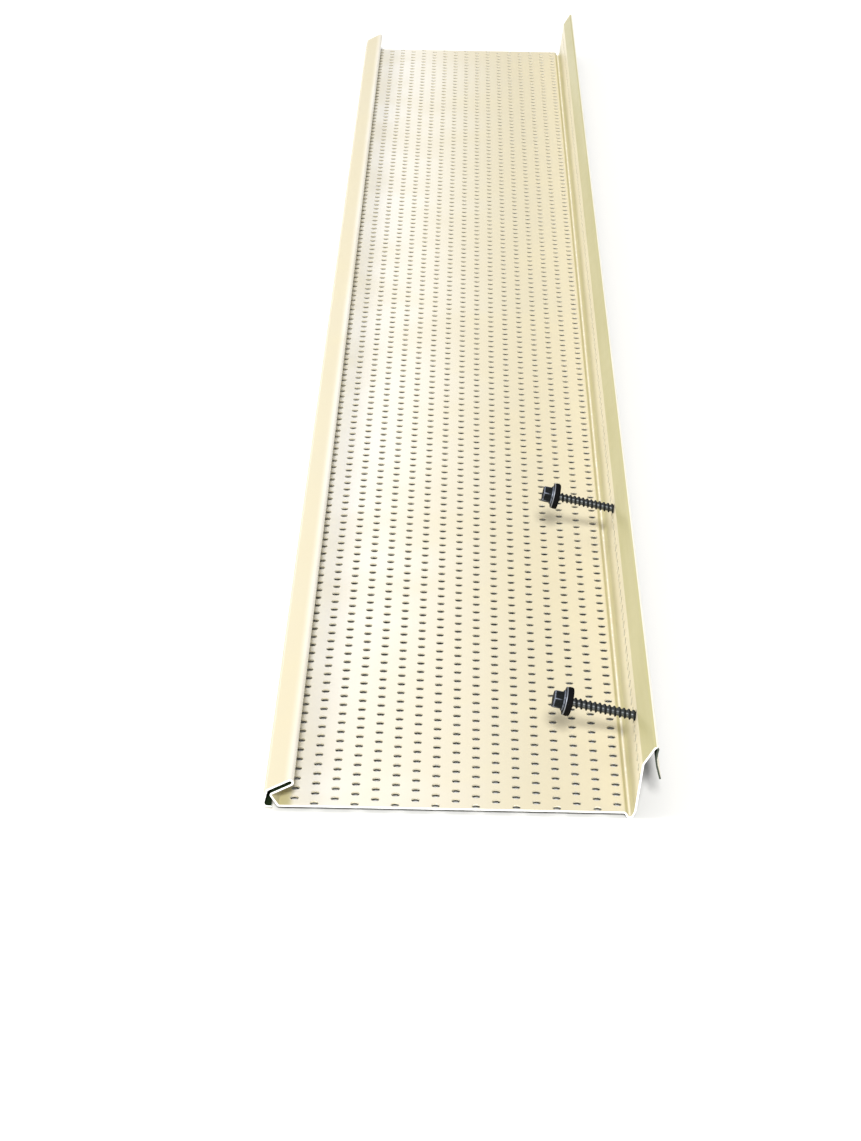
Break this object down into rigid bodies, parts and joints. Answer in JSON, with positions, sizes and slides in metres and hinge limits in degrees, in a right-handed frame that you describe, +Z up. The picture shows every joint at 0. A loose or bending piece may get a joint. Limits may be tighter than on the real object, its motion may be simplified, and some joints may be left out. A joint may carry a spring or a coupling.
{
  "type": "gutter guard",
  "caption": "Perforated roll-formed gutter cover: a front hem hooks under a gutter's lip, and hex screws with sealing washers pass its steep rear wall, under a flange with a folded leg.",
  "frame": {"origin": "centre of the footprint, at the level of the lowest bend, the bottom of the rear groove", "axes": "+X from the front hook to the rear leg, +Y along the length away from the cut end, +Z up, square to the perforated panel"},
  "size_m": [0.1242, 0.9144, 0.0266],
  "materials": {
    "painted_sheet": "baked cream paint, satin",
    "screw_steel": "dark grey zinc coating",
    "washer_steel": "zinc-plated",
    "seal_rubber": "matte black EPDM"
  },
  "bodies": {
    "root": {"front_hook": "painted_sheet", "rear_wall": "painted_sheet", "panel_1": "painted_sheet", "panel_2": "painted_sheet", "panel_3": "painted_sheet", "panel_4": "painted_sheet", "panel_5": "painted_sheet", "panel_6": "painted_sheet", "panel_7": "painted_sheet", "panel_8": "painted_sheet", "panel_9": "painted_sheet", "screw_near": "screw_steel", "washer_near": "washer_steel", "seal_near": "seal_rubber", "screw_far": "screw_steel", "washer_far": "washer_steel", "seal_far": "seal_rubber"}
  },
  "joints": []
}
